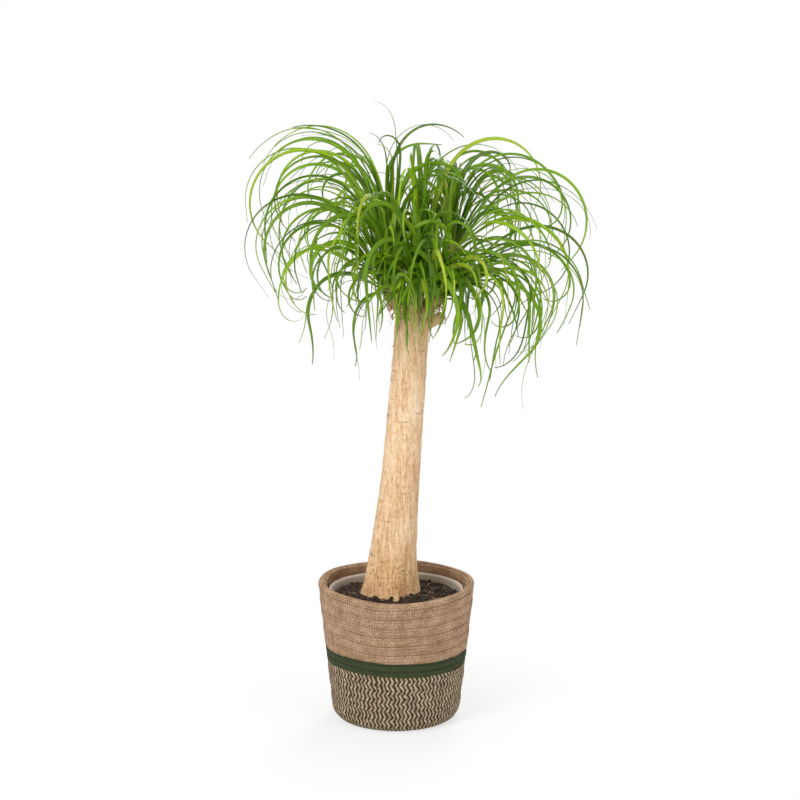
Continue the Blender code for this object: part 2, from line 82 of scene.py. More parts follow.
class Look:  # a material and its nodes
    def __init__(self, name):
        self.material = bpy.data.materials.new(name)
        self.material.use_nodes = True
        self.tree = self.material.node_tree
        self.skin = self.tree.nodes["Principled BSDF"]

    def add(self, kind, settings, sockets, out=0):
        node = self.tree.nodes.new(kind)
        for name, value in settings.items():
            if name == "stops":
                self.setStops(node.color_ramp, value)
            else:
                setattr(node, name, value)
        for name, value in sockets.items():
            self.plug(node.inputs[name], value)
        return Wire(self, node.outputs[out])

    def setStops(self, ramp, stops):
        while len(ramp.elements) < len(stops):
            ramp.elements.new(0.5)
        for element, (place, colour) in zip(ramp.elements, stops):
            element.position = place
            element.color = (*colour, 1.0)

    def plug(self, socket, value):
        if isinstance(value, Wire):
            self.tree.links.new(value.socket, socket)
        elif isinstance(value, tuple) and len(value) == 3 and socket.type == "RGBA":
            socket.default_value = (*value, 1.0)
        else:
            socket.default_value = value

    def place(self):  # the piece's own coordinates, in metres
        return self.add("ShaderNodeTexCoord", {}, {}, "Object")

    def sheetUv(self, name):  # both directions of a named UV map
        uv = self.add("ShaderNodeUVMap", {"uv_map": name}, {})
        across = self.add("ShaderNodeSeparateXYZ", {}, {0: uv}, 0)
        return across, Wire(self, across.socket.node.outputs[1])

    def stretched(self, vector, scale):
        return self.add("ShaderNodeVectorMath", {"operation": "MULTIPLY"}, {0: vector, 1: scale})

    def cloud(self, vector, scale, detail=2.0, rough=0.5):
        return self.add("ShaderNodeTexNoise", {}, {"Vector": vector, "Scale": scale, "Detail": detail,
                                                   "Roughness": rough}, 0)

    def ramp(self, factor, stops):
        return self.add("ShaderNodeValToRGB", {"stops": stops}, {0: factor})

    def blend(self, factor, first, second, kind="MIX"):
        return self.add("ShaderNodeMix", {"data_type": "RGBA", "blend_type": kind},
                        {0: factor, 6: first, 7: second}, 2)

    def bump(self, height, strength, distance):
        return self.add("ShaderNodeBump", {}, {"Height": height, "Strength": strength, "Distance": distance})

    def mixInto(self, share, other):  # the surface becomes a mix of the main shader and another
        mixed = self.add("ShaderNodeMixShader", {}, {0: share, 1: Wire(self, self.skin.outputs[0]), 2: other})
        self.tree.links.new(mixed.socket, self.tree.nodes["Material Output"].inputs[0])

    def set(self, **sockets):
        for name, value in sockets.items():
            self.plug(self.skin.inputs[name.replace("_", " ")], value)
        return self


def skinGrid(name, points, look, uvs=None):
    # points is rows x columns x 3, closed round each row
    # uvs gives two arrays of rows x (columns + 1) for each named map
    rows, cols = points.shape[:2]
    r = np.arange(rows - 1)[:, None]
    c = np.arange(cols)[None, :]
    after = (c + 1) % cols
    quads = np.stack([r * cols + c, r * cols + after, (r + 1) * cols + after, (r + 1) * cols + c], -1)
    faces = quads.reshape(-1, 4)
    return buildMesh(name, points.reshape(-1, 3), faces.tolist(), look, gridUvs(uvs, r, c))


def gridUvs(uvs, r, c):
    maps = {}
    for label, (u, v) in (uvs or {}).items():
        corners = [(r, c), (r, c + 1), (r + 1, c + 1), (r + 1, c)]
        maps[label] = np.stack([np.stack([u[i, j], v[i, j]], -1) for i, j in corners], 2).reshape(-1, 2)
    return maps


def buildMesh(name, points, faces, look, uvs=None, smooth=True):
    mesh = bpy.data.meshes.new(name)
    mesh.from_pydata(np.asarray(points).tolist(), [], faces)
    for label, corners in (uvs or {}).items():
        layer = mesh.uv_layers.new(name=label)
        layer.data.foreach_set("uv", np.asarray(corners, np.float32).ravel())
    mesh.update()
    if smooth:
        mesh.shade_smooth()
    piece = bpy.data.objects.new(name, mesh)
    bpy.context.scene.collection.objects.link(piece)
    mesh.materials.append(look.material)
    return piece


def fit(piece, slotName, *nodes):  # rides on the part, and stands for its plain solids
    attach(piece, "root")
    if nodes:
        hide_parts(*nodes)
    return piece


def ripple(x, y, z, scale, offset=0.0):
    return noise.noise(Vector((x * scale + offset, y * scale - offset, z * scale + 2 * offset)))


studio = {
    "eye": (0.0057, -2.6, 0.88),
    "aim": (0.0057, 0.0, 0.456),
    "lens": 84.8,
    "ambient": 0.62,          # strength of the even light from all round
    "lamps": {                # place, width and power of each soft lamp
        "keyLamp": ((-1.3, -1.7, 1.9), 1.2, 33.0),
        "fillLamp": ((1.8, -1.4, 1.0), 1.4, 9.0),
        "backLamp": ((0.5, 1.9, 1.7), 1.2, 22.0),
    },
    "lampAim": (0, 0, 0.45),
    "floorWhite": 0.93, "floorHalf": 6.0,
    "whiteFrom": 0.10, "whiteTo": 0.40,   # the floor turns plain white between these distances
    "nearWhite": 0.66,        # share of plain white close to the basket
}


def makeCamera():
    camera = bpy.data.objects.new("camera", bpy.data.cameras.new("camera"))
    camera.data.lens = studio["lens"]
    camera.location = studio["eye"]
    way = Vector(studio["aim"]) - Vector(studio["eye"])
    camera.rotation_euler = way.to_track_quat("-Z", "Y").to_euler()
    bpy.context.scene.collection.objects.link(camera)
    bpy.context.scene.camera = camera


def seenDirectly(look):  # 1 for what the camera, a mirror or glass sees
    rays = look.tree.nodes.new("ShaderNodeLightPath").outputs
    seen = Wire(look, rays["Is Camera Ray"]).atLeast(Wire(look, rays["Is Glossy Ray"]))
    return seen.atLeast(Wire(look, rays["Is Transmission Ray"]))


def makeFloor():
    look = Look("studioFloor")
    white = studio["floorWhite"]
    look.set(Base_Color=(white, white, white), Roughness=0.9)
    place = look.place()
    far = look.add("ShaderNodeVectorMath", {"operation": "LENGTH"}, {0: place}, "Value")
    glow = look.add("ShaderNodeEmission", {}, {"Color": (1.0, 1.0, 1.0), "Strength": 1.0})
    whiteness = far.step(studio["whiteFrom"], studio["whiteTo"], studio["nearWhite"], 1.0)
    share = whiteness * seenDirectly(look)
    look.mixInto(share, glow)
    half = studio["floorHalf"]
    corners = [(-half, -half, 0), (half, -half, 0), (half, half, 0), (-half, half, 0)]
    floor = buildMesh("floor", corners, [(0, 1, 2, 3)], look, smooth=False)


def makeLamp(name, place, size, power):
    lamp = bpy.data.objects.new(name, bpy.data.lights.new(name, "AREA"))
    lamp.data.shape = "DISK"
    lamp.data.size = size
    lamp.data.energy = power
    lamp.location = place
    way = Vector(studio["lampAim"]) - Vector(place)
    lamp.rotation_euler = way.to_track_quat("-Z", "Y").to_euler()
    bpy.context.scene.collection.objects.link(lamp)


def makeWorld():
    world = bpy.data.worlds.new("studio")
    bpy.context.scene.world = world
    world.use_nodes = True
    tree = world.node_tree
    ambient = tree.nodes["Background"]
    ambient.inputs["Color"].default_value = (1.0, 1.0, 1.0, 1.0)
    ambient.inputs["Strength"].default_value = studio["ambient"]
    bright = tree.nodes.new("ShaderNodeBackground")
    bright.inputs["Color"].default_value = (1.0, 1.0, 1.0, 1.0)
    bright.inputs["Strength"].default_value = 1.0
    rays = tree.nodes.new("ShaderNodeLightPath")
    mix = tree.nodes.new("ShaderNodeMixShader")
    tree.links.new(rays.outputs["Is Camera Ray"], mix.inputs[0])
    tree.links.new(ambient.outputs[0], mix.inputs[1])
    tree.links.new(bright.outputs[0], mix.inputs[2])
    tree.links.new(mix.outputs[0], tree.nodes["World Output"].inputs[0])


def makeStudio():
    makeCamera()
    makeFloor()
    makeWorld()
    for name, (place, size, power) in studio["lamps"].items():
        makeLamp(name, place, size, power)
    bpy.context.scene.view_settings.view_transform = "Standard"
    print("studio ready")


basket = {
    "flat": 0.073, "heel": 0.091, "heelZ": 0.020,
    "waist": 0.0985, "waistZ": 0.088,
    "rim": 0.1095, "height": 0.199, "roll": 0.005,
    "wall": 0.0068, "floorZ": 0.008,
    "repeats": 96,            # two-colour strands round the lower wall
    "steps": 7,               # mesh columns to a repeat
    "twoToneTop": 0.083, "greenTop": 0.104,
    "frontSag": 0.0090,       # how far the soft rim hangs lower in front
    "bandTilt": 0.0030,       # the bands climb a little on the left
    "twoToneRow": 0.0130, "greenRow": 0.0096, "tanRow": 0.0145,
    "bulge": 0.0009,          # how far a row stands out between its seams
    "strand": 0.00055,        # height of a strand over the gaps beside it
    "teeth": 0.0011,          # jagged lower edge of the tan braid
    # hand-made unevenness, each as waves of (size, how many round, where they start)
    "rowDrift": ((0.06, 3, 0.7), (0.05, 7, 2.0)),
    "outOfRound": ((0.0009, 2, 0.6), (0.0006, 5, 1.9)),
    "rimWaves": ((0.0008, 2, -1.2), (0.0006, 5, 0.4)),
    "rowWaves": 0.0005,
    "sagFrom": 0.095, "sagOver": 0.09,    # the sag grows from nothing over this height
    "bellyZ": 0.08,
}


def wallRadius(z):
    b = basket
    if z < b["heelZ"]:
        return b["flat"] + (b["heel"] - b["flat"]) * math.sqrt(max(0.0, 1 - (1 - z / b["heelZ"]) ** 2))
    if z < b["waistZ"]:
        return b["heel"] + (b["waist"] - b["heel"]) * (z - b["heelZ"]) / (b["waistZ"] - b["heelZ"])
    top = b["height"] - b["roll"]
    return b["waist"] + (b["rim"] - b["waist"]) * min(1.0, (z - b["waistZ"]) / (top - b["waistZ"]))


def evenly(outline, step):  # points at even steps along an outline, and the way out from it
    outline = np.array(outline)
    run = np.r_[0, np.cumsum(np.linalg.norm(np.diff(outline, axis=0), axis=1))]
    at = np.linspace(0, run[-1], max(2, int(round(run[-1] / step)) + 1))
    points = np.stack([np.interp(at, run, outline[:, k]) for k in (0, 1)], 1)
    along = np.gradient(points, axis=0)
    along /= np.linalg.norm(along, axis=1)[:, None]
    return at, points, np.stack([along[:, 1], -along[:, 0]], 1)


def zigzag(v):
    return np.abs(2 * (v % 1.0) - 1)


def waves(angle, parts):
    total = 0.0
    for size, times, start in parts:
        total = total + size * np.sin(times * angle + start)
    return total


def coil(name, outline, rowHeight, style, look, rowStart=0.0, jagged=False, fineness=0.0012):
    # one zone of the basket: rows of braid with strands, seams and a hand-made wobble
    b = basket
    cols = b["repeats"] * b["steps"]
    at, points, out = evenly(outline, fineness)
    turn = np.arange(cols + 1) / cols
    angle = 2 * math.pi * turn
    u = np.repeat((turn * b["repeats"])[None, :], len(at), 0)
    drift = waves(angle, b["rowDrift"])
    v = rowStart + at[:, None] / rowHeight + drift[None, :]
    lift = liftOf(u, v, style)
    wobble = waves(angle, b["outOfRound"])
    rowWobble = b["rowWaves"] * np.sin(4 * angle[None, :] + 2.1 * np.floor(v))
    level = points[:, 1][:, None]
    reach = points[:, 0][:, None] + out[:, 0][:, None] * (lift + rowWobble)
    reach = reach + wobble[None, :] * (level / b["height"])
    z = level + out[:, 1][:, None] * lift
    sag = waves(angle, b["rimWaves"]) - b["frontSag"] * np.clip(-np.sin(angle), 0, 1) ** 1.6
    rising = np.clip((level - b["sagFrom"]) / b["sagOver"], 0, 1)
    belly = np.clip(level / b["bellyZ"], 0, 1) * (1 - 0.6 * rising)
    z = z + sag[None, :] * rising - b["bandTilt"] * np.cos(angle)[None, :] * belly
    if jagged:  # the first three rings of points carry the teeth, fading upwards
        z[:3] += np.array([1.0, 0.7, 0.3])[:, None] * (b["teeth"] * (zigzag(u[:3] * 2) - 0.5))
    z = np.maximum(z, 0.0)   # the underside lies flat on the floor
    grid = np.stack([reach * np.cos(angle), reach * np.sin(angle), z], -1)[:, :-1]
    return skinGrid(name, grid, look, {"braid": (u, v)})


def liftOf(u, v, style):  # how far the braid stands out at (u, v): rows, then strands
    b = basket
    inRow = v % 1.0
    row = b["bulge"] * (1 - np.abs(2 * inRow - 1) ** 4) - 0.0004
    if style == "twoTone":
        slant = u + 0.55 * zigzag(v)
        strand = np.abs(np.cos(math.pi * slant * 2)) ** 0.7
        return 0.55 * row + b["strand"] * (strand - 0.4)
    pitch = 2.0               # plain strands to each two-colour one
    slant = u * pitch + 0.9 * zigzag(v + 0.25 * np.floor(u * pitch * 0.5) % 1.0)
    strand = np.abs(np.sin(math.pi * slant)) ** 0.8
    stitch = 0.0002 * np.sin(2 * math.pi * u * pitch) * (np.abs(2 * inRow - 1) > 0.8)
    return row + 0.75 * b["strand"] * (strand - 0.5) + stitch


def fibres(look):  # fine fuzz and short threads over any braid
    place = look.place()
    return look.cloud(place, 900.0, 3.0, 0.6), look.cloud(place, 60.0, 3.0, 0.55)


def tanLook():
    look = Look("tanBraid")
    u, v = look.sheetUv("braid")
    fuzz, patch = fibres(look)
    inRow = (v.fract() * 2.0 - 1.0).abs()
    slant = u * 2.0 + inRow * 0.9 + patch * 0.5
    strand = (slant * math.pi).sin().abs()
    gaps = strand.step(0.0, 0.45)
    grain = look.cloud(look.place(), 420.0, 2.0, 0.5)
    hole = ((u * 2.0 + grain * 0.5).fract() - 0.5).abs().step(0.26, 0.10)
    holeShade = hole * (inRow - 0.42).abs().step(0.20, 0.06) * grain.step(0.40, 0.56)
    seam = inRow.step(0.84, 0.95) * ((u * 2.5).fract() - 0.5).abs().step(0.36, 0.16)
    base = look.ramp(fuzz * 0.45 + grain * 0.30 + patch * 0.25,
                     [(0.38, (0.200, 0.110, 0.058)), (0.48, (0.400, 0.240, 0.136)),
                      (0.60, (0.640, 0.450, 0.290))])
    # painted shade: the gaps between strands are darkened and the holes in the weave are painted dark; the
    # dashes along the row seams take the same dark colour
    shaded = look.blend(gaps, (0.270, 0.155, 0.080), base)
    dotted = look.blend((holeShade * 0.92).atLeast(seam * 0.95), shaded, (0.085, 0.042, 0.018))
    height = strand + fuzz * 0.7 - seam * 1.2
    return look.set(Base_Color=dotted, Roughness=0.92, Normal=look.bump(height, 0.55, 0.0010))


def greenLook():
    look = Look("greenBraid")
    u, v = look.sheetUv("braid")
    fuzz, patch = fibres(look)
    inRow = (v.fract() * 2.0 - 1.0).abs()
    strand = ((u * 2.0 + inRow * 0.9 + patch * 0.5) * math.pi).sin().abs()
    seam = inRow.step(0.80, 0.98)
    base = look.ramp(fuzz * 0.65 + strand * 0.25, [(0.28, (0.006, 0.010, 0.002)),
                                                   (0.46, (0.022, 0.034, 0.008)),
                                                  (0.66, (0.090, 0.115, 0.040))])
    # painted shade: the seams between rows are darkened
    mixed = look.blend(seam * 0.8, base, (0.006, 0.011, 0.003))
    return look.set(Base_Color=mixed, Roughness=0.93,
                    Normal=look.bump(strand + fuzz * 0.8 - seam, 0.6, 0.0010))


def twoToneLook():
    look = Look("twoToneBraid")
    u, v = look.sheetUv("braid")
    fuzz, patch = fibres(look)
    place = look.place()
    bend = (v.fract() * 2.0 - 1.0).abs()
    stray = look.cloud(place, 160.0, 2.0, 0.5)
    jump = ((v - v.fract()) * 0.618).fract() * 0.34   # each row starts a little out of step
    slant = (u + bend * 0.55 + jump + patch * 0.80 + stray * 0.55 + fuzz * 0.30).fract()
    pale = (slant - 0.5).abs().step(0.26, 0.19) * (1.0 - (fuzz - 0.5).abs().step(0.16, 0.24) * 0.5)
    kink = (bend - 0.5).abs().step(0.40, 0.50)
    beige = look.ramp(fuzz * 0.5 + stray * 0.5,
                      [(0.38, (0.300, 0.180, 0.100)), (0.50, (0.520, 0.365, 0.235)),
                       (0.62, (0.720, 0.540, 0.380))])
    dark = look.ramp(fuzz * 0.6 + stray * 0.4,
                     [(0.38, (0.012, 0.009, 0.002)), (0.50, (0.038, 0.042, 0.012)),
                      (0.62, (0.110, 0.100, 0.045))])
    mixed = look.blend(pale, dark, beige)
    # painted shade: each row is darkened along its middle fold and along its seams
    kinkShaded = look.blend(kink * 0.50, mixed, (0.040, 0.024, 0.008))
    strand = ((slant * 2.0) * math.pi).sin().abs()
    return look.set(Base_Color=kinkShaded, Roughness=0.92, Normal=look.bump(strand + fuzz * 0.6, 0.6, 0.0012))


def makeBasket():
    b = basket
    heel = [(b["flat"] + (b["heel"] - b["flat"]) * math.sin(t), b["heelZ"] * (1 - math.cos(t)))
            for t in np.linspace(0, math.pi / 2, 12)]
    hub = 0.012               # the coil's own middle
    lower = [(hub, 0.0), (b["flat"], 0.0)] + heel
    lower += [(wallRadius(z), z) for z in (0.05, b["twoToneTop"] + 0.001)]
    lowerLength = sum(math.dist(p, q) for p, q in zip(lower, lower[1:]))
    start = -(lowerLength / b["twoToneRow"]) % 1.0   # so that a row ends at the green band
    twoTone = coil("basketTwoToneBraid", lower, b["twoToneRow"], "twoTone", twoToneLook(), start)
    bandHeights = np.linspace(b["twoToneTop"] - 0.001, b["greenTop"] + 0.001, 5)
    green = [(wallRadius(z) - 0.0005, z) for z in bandHeights]
    band = coil("basketGreenBand", green, b["greenRow"], "green", greenLook())
    top = b["height"] - b["roll"]
    middle = b["rim"] - b["roll"]
    crest = [(middle + b["roll"] * math.cos(t), top + b["roll"] * math.sin(t))
             for t in np.linspace(0, math.pi, 12)]
    inside = [(wallRadius(z) - b["wall"] - 0.0016, z) for z in (top - 0.010, top - 0.014)]
    deep = [(wallRadius(z) - b["wall"], z) for z in (top - 0.018, 0.150)]
    outline = [(wallRadius(z), z) for z in (b["greenTop"], 0.125, 0.150, 0.175)] + crest + inside + deep
    tan = coil("basketTanBraid", outline, b["tanRow"], "tan", tanLook(), jagged=True)
    lining = [(wallRadius(z) - b["wall"], z) for z in (0.151, 0.12, 0.09, 0.05, 0.022)]
    lining += [(b["flat"] + 0.004, b["floorZ"] + 0.003), (b["flat"], b["floorZ"]), (hub, b["floorZ"])]
    within = coil("basketLining", lining, b["tanRow"], "tan", linedLook(), fineness=0.0021)
    for piece in (twoTone, band, tan, within):
        fit(piece, "basket_braid", "basket")
    print("basket braided")


def linedLook():
    look = Look("liningBraid")
    fuzz, patch = fibres(look)
    base = look.ramp(fuzz * 0.6 + patch * 0.4, [(0.3, (0.20, 0.13, 0.08)), (0.7, (0.42, 0.30, 0.20))])
    return look.set(Base_Color=base, Roughness=0.95, Normal=look.bump(fuzz, 0.5, 0.0008))


pot = {
    "rim": 0.095, "top": 0.186, "rimDepth": 0.010, "rimStep": 0.0025,
    "base": 0.068, "baseZ": 0.0083, "wall": 0.0016, "sides": 160,
}


def potLook():
    look = Look("potPlastic")
    place = look.place()
    haze = look.cloud(place, 35.0, 3.0, 0.6)
    grain = look.cloud(place, 1500.0, 2.0, 0.5)
    height = look.add("ShaderNodeSeparateXYZ", {}, {0: place}, 2)
    soiled = (height + haze * 0.006).step(0.183, 0.175)
    # painted shade: the pot is darkened everywhere below its lip
    deep = height.step(0.1848, 0.1825)
    clean = look.ramp(haze, [(0.3, (0.58, 0.48, 0.40)), (0.7, (0.72, 0.62, 0.54))])
    shadedBelowLip = look.blend(deep * 0.85, clean, (0.30, 0.255, 0.195))
    # soil dust near the soil line, laid over the painted shade below the lip
    dustyAndShaded = look.blend(soiled * 0.60, shadedBelowLip, (0.20, 0.165, 0.12))
    return look.set(Base_Color=dustyAndShaded, Roughness=0.48 + haze * 0.15,
                    Normal=look.bump(grain + haze, 0.25, 0.0005))


def makePot():
    p = pot
    neck = p["rim"] - p["rimStep"]
    under = p["top"] - p["rimDepth"]

    def side(z):
        return p["base"] + (neck - p["base"]) * (z - p["baseZ"]) / (p["top"] - p["baseZ"])

    lip = [(p["rim"] - 0.0011 + 0.0011 * math.cos(t), p["top"] - 0.0011 + 0.0011 * math.sin(t))
           for t in np.linspace(-0.2, math.pi, 7)]
    outline = [(0.001, p["baseZ"]), (p["base"] - 0.001, p["baseZ"]), (p["base"], p["baseZ"] + 0.001),
               (side(0.06), 0.06), (side(0.12), 0.12), (side(under), under), (p["rim"] - 0.0004, under)]
    outline += lip + [(neck - p["wall"], p["top"] - 0.0025), (side(under) - p["wall"], under - 0.002),
                      (side(0.12) - p["wall"], 0.12), (side(0.012) - p["wall"], 0.0102), (0.001, 0.0102)]
    points = np.array(outline)
    angle = 2 * math.pi * np.arange(p["sides"]) / p["sides"]
    oval = 1 + 0.004 * np.sin(2 * angle + 0.8)
    reach = points[:, 0][:, None] * oval[None, :]
    z = np.repeat(points[:, 1][:, None], p["sides"], 1)
    grid = np.stack([reach * np.cos(angle), reach * np.sin(angle), z], -1)
    piece = skinGrid("potShell", grid, potLook())
    piece.data.set_sharp_from_angle(angle=math.radians(50))
    fit(piece, "pot_plastic", "nursery_pot")
    print("pot turned")


stem = {
    "rings": [  # height, radius, and how far the middle has moved to the side
        (0.150, 0.044, -0.010), (0.165, 0.0445, -0.010), (0.180, 0.0415, -0.0095),
        (0.200, 0.0375, -0.0080), (0.222, 0.0345, -0.0062), (0.250, 0.0325, -0.0036),
        (0.290, 0.0296, 0.0008), (0.340, 0.0272, 0.0058), (0.400, 0.0258, 0.0106),
        (0.460, 0.0251, 0.0152), (0.520, 0.0238, 0.0196), (0.556, 0.0245, 0.0222),
        (0.572, 0.0225, 0.0232),
    ],
    "lobes": 5, "lobeDepth": 0.10, "lobeFade": 0.10, "soilZ": 0.173,
    "columns": 180, "rowStep": 0.0016,
}


def stemAt(z):  # radius and side shift of the stem at a height
    rings = np.array(stem["rings"])
    return np.interp(z, rings[:, 0], rings[:, 1]), np.interp(z, rings[:, 0], rings[:, 2])


def smoothStemAt(z):
    near = [stemAt(z + d) for d in (-0.012, -0.006, 0.0, 0.006, 0.012)]
    return sum(n[0] for n in near) / 5, sum(n[1] for n in near) / 5


def barkLift(x, y, z, low):  # ridges, flakes and pits of the bark; low is 1 at the ground
    ridge = noise.noise(Vector((x * 230, y * 230, z * 22)))
    strip = noise.noise(Vector((x * 480 + 9, y * 480, z * 40)))
    flake = noise.noise(Vector((x * 120, y * 120 + 5, z * 90)))
    crease = max(0.0, noise.noise(Vector((x * 60, y * 60, z * 420))) - 0.28)
    pit = max(0.0, noise.noise(Vector((x * 420, y * 420, z * 380 + 3))) - 0.25)
    lift = 0.0007 * ridge + 0.00055 * strip + 0.0005 * flake - 0.0022 * crease * (1 - 0.6 * low)
    root = abs(noise.noise(Vector((x * 70, y * 70, z * 16 + 4))))
    return lift - low * (0.0030 * pit + 0.0022 * (0.35 - min(0.35, root)))


def barkLook():
    look = Look("palmBark")
    place = look.place()
    upright = look.stretched(place, (1.0, 1.0, 0.10))
    ridges = look.cloud(upright, 260.0, 4.0, 0.65)
    fine = look.cloud(upright, 700.0, 2.0, 0.6)
    broad = look.cloud(look.stretched(place, (1.0, 1.0, 0.45)), 28.0, 3.0, 0.55)
    level = look.cloud(look.stretched(place, (0.14, 0.14, 1.0)), 300.0, 2.0, 0.5)
    specks = look.cloud(place, 380.0, 2.0, 0.6)
    height = look.add("ShaderNodeSeparateXYZ", {}, {0: place}, 2)
    low = height.step(0.290, 0.185)
    scaly = look.cloud(look.stretched(place, (1.0, 1.0, 0.40)), 420.0, 3.0, 0.65)
    tone = look.ramp(ridges * 0.40 + scaly * 0.35 + broad * 0.25,
                     [(0.38, (0.430, 0.230, 0.100)), (0.46, (0.700, 0.430, 0.225)),
                      (0.54, (0.850, 0.600, 0.370)), (0.66, (0.960, 0.800, 0.610))])
    cracks = level.step(0.64, 0.73) * scaly.step(0.44, 0.56)
    cracked = look.blend(cracks * 0.6, tone, (0.230, 0.110, 0.040))
    pits = specks.step(0.60, 0.70) * (low * 0.75 + 0.12)
    pitted = look.blend(pits, cracked, (0.190, 0.095, 0.030))
    golden = look.blend(low * 0.45, pitted, (1.0, 0.80, 0.46), "MULTIPLY")
    grey = look.blend(height.step(0.545, 0.575) * 0.55, golden, (0.52, 0.33, 0.16))
    streaks = look.blend(fine.step(0.58, 0.70) * 0.45, grey, (0.500, 0.300, 0.140))
    relief = ridges * 0.8 + scaly * 0.7 + fine * 0.4 - cracks * 1.2 - pits * 0.8
    return look.set(Base_Color=streaks, Roughness=0.78, Normal=look.bump(relief, 0.75, 0.0018))


def makeStem():
    s = stem
    heights = np.arange(s["rings"][0][0], s["rings"][-1][0] + 0.0001, s["rowStep"])
    cols = s["columns"]
    angles = 2 * math.pi * np.arange(cols) / cols
    grid = np.zeros((len(heights) + 3, cols, 3))
    for i, z in enumerate(heights):
        radius, shift = smoothStemAt(z)
        fade = max(0.0, 1.0 - abs(z - s["soilZ"]) / s["lobeFade"])
        low = min(1.0, max(0.0, (0.30 - z) / 0.11))
        for k, a in enumerate(angles):
            lobe = math.cos(s["lobes"] * a + 0.9) + 0.4 * math.cos(2 * a + 2.4)
            lobe += 0.25 * math.cos(11 * a + 1.0)
            reach = radius * (1 + s["lobeDepth"] * fade * lobe)
            x, y = shift + reach * math.cos(a), reach * math.sin(a)
            reach += barkLift(x, y, z, low)
            grid[i, k] = (shift + reach * math.cos(a), reach * math.sin(a), z)
    top = grid[len(heights) - 1]
    middle = top.mean(0)
    for n, (share, rise) in enumerate([(0.93, 0.0025), (0.7, 0.004), (0.02, 0.005)]):
        grid[len(heights) + n] = middle + (top - middle) * share + np.array([0, 0, rise])
    piece = skinGrid("stemBark", grid, barkLook())
    fit(piece, "bark", "trunk")
    print("stem grown")


soil = {
    "top": 0.1755, "heap": 0.006, "reach": 0.0896,
    "rings": 60, "columns": 220,
    "crumbs": 900, "seed": 12,
}


def soilLook():
    look = Look("pottingSoil")
    place = look.place()
    grit = look.cloud(place, 420.0, 4.0, 0.7)
    damp = look.cloud(place, 45.0, 2.0, 0.5)
    base = look.ramp(grit * 0.75 + damp * 0.25,
                     [(0.34, (0.008, 0.005, 0.003)), (0.50, (0.042, 0.024, 0.013)),
                      (0.62, (0.110, 0.062, 0.034)), (0.76, (0.230, 0.140, 0.080))])
    return look.set(Base_Color=base, Roughness=0.88, Normal=look.bump(grit, 0.9, 0.0015))


def soilHeight(x, y):
    radius, shift = stemAt(soil["top"])
    near = math.hypot(x - shift, y) - radius
    heap = soil["heap"] * math.exp(-max(0.0, near) / 0.012)
    mound = 0.004 * math.exp(-((x - 0.045) ** 2 + (y + 0.035) ** 2) / 0.0006)
    lumps = 0.0030 * ripple(x, y, 0, 70) + 0.0022 * ripple(x, y, 0, 190, 3.0)
    lumps += 0.0012 * ripple(x, y, 0, 420, 7.0)
    return soil["top"] - 0.001 + heap + mound + lumps


def crumb(middle, size, mix):  # a rough little lump
    points, faces = [], []
    for i in range(4):
        tilt = math.pi * (0.14 + 0.72 * i / 3)
        for k in range(5):
            a = 2 * math.pi * (k + 0.5 * (i % 2)) / 5
            grow = size * mix.uniform(0.7, 1.25)
            points.append(middle + grow * Vector((math.sin(tilt) * math.cos(a), math.sin(tilt) * math.sin(a),
                                                  0.8 * math.cos(tilt))))
    for i in range(3):
        for k in range(5):
            faces.append((i * 5 + k, (i + 1) * 5 + k, (i + 1) * 5 + (k + 1) % 5, i * 5 + (k + 1) % 5))
    faces.append((0, 1, 2, 3, 4))
    faces.append((19, 18, 17, 16, 15))
    return points, faces


def gather(parts):  # many small shapes as one list of points and faces
    points, faces = [], []
    for morePoints, moreFaces in parts:
        start = len(points)
        points += [tuple(p) for p in morePoints]
        faces += [tuple(start + i for i in face) for face in moreFaces]
    return points, faces


def makeSoil():
    s = soil
    mix = random.Random(s["seed"])
    radius, shift = stemAt(s["top"])
    grid = np.zeros((s["rings"], s["columns"], 3))
    for i in range(s["rings"]):
        share = i / (s["rings"] - 1)
        for k in range(s["columns"]):
            a = 2 * math.pi * k / s["columns"]
            near = Vector((shift + (radius - 0.006) * math.cos(a), (radius - 0.006) * math.sin(a), 0))
            far = Vector((s["reach"] * math.cos(a), s["reach"] * math.sin(a), 0))
            at = near.lerp(far, share)
            grid[i, k] = (at.x, at.y, soilHeight(at.x, at.y))
    look = soilLook()
    bed = skinGrid("soilBed", grid[::-1], look)
    fit(bed, "potting_soil", "soil")
    crumbs, strands = [], []
    while len(crumbs) < s["crumbs"]:
        a, r = mix.uniform(0, 2 * math.pi), s["reach"] * math.sqrt(mix.uniform(0.1, 0.97))
        x, y = r * math.cos(a), r * math.sin(a)
        if math.hypot(x - shift, y) < radius - 0.001:
            continue
        size = mix.choice([0.0007, 0.001, 0.0014, 0.0014, 0.0022, 0.0032])
        crumbs.append(crumb(Vector((x, y, soilHeight(x, y) + size * 0.4)), size, mix))
        if mix.random() < 0.10:
            strands.append(straw(Vector((x, y, soilHeight(x, y) + 0.0015)), mix))
    points, faces = gather(crumbs)
    fit(buildMesh("soilCrumbs", points, faces, look), "potting_soil")
    points, faces = gather(strands)
    fit(buildMesh("soilFibres", points, faces, strawLook(), smooth=False), "potting_soil")
    print("soil filled,", len(crumbs), "crumbs")


def straw(middle, mix):  # a short pale fibre in the soil
    a = mix.uniform(0, 2 * math.pi)
    way = Vector((math.cos(a), math.sin(a), mix.uniform(-0.2, 0.3))) * mix.uniform(0.002, 0.006)
    side = way.cross(Vector((0, 0, 1))).normalized() * 0.0004
    up = Vector((0, 0, 0.0004))
    points = [middle + s * way + t for s in (-1, 1) for t in (side, up, -side)]
    return points, [(0, 1, 4, 3), (1, 2, 5, 4), (2, 0, 3, 5), (0, 2, 1), (3, 4, 5)]


def strawLook():
    look = Look("soilStraw")
    tone = look.cloud(look.place(), 200.0, 2.0, 0.5)
    base = look.ramp(tone, [(0.3, (0.20, 0.12, 0.06)), (0.7, (0.55, 0.40, 0.24))])
    return look.set(Base_Color=base, Roughness=0.85)


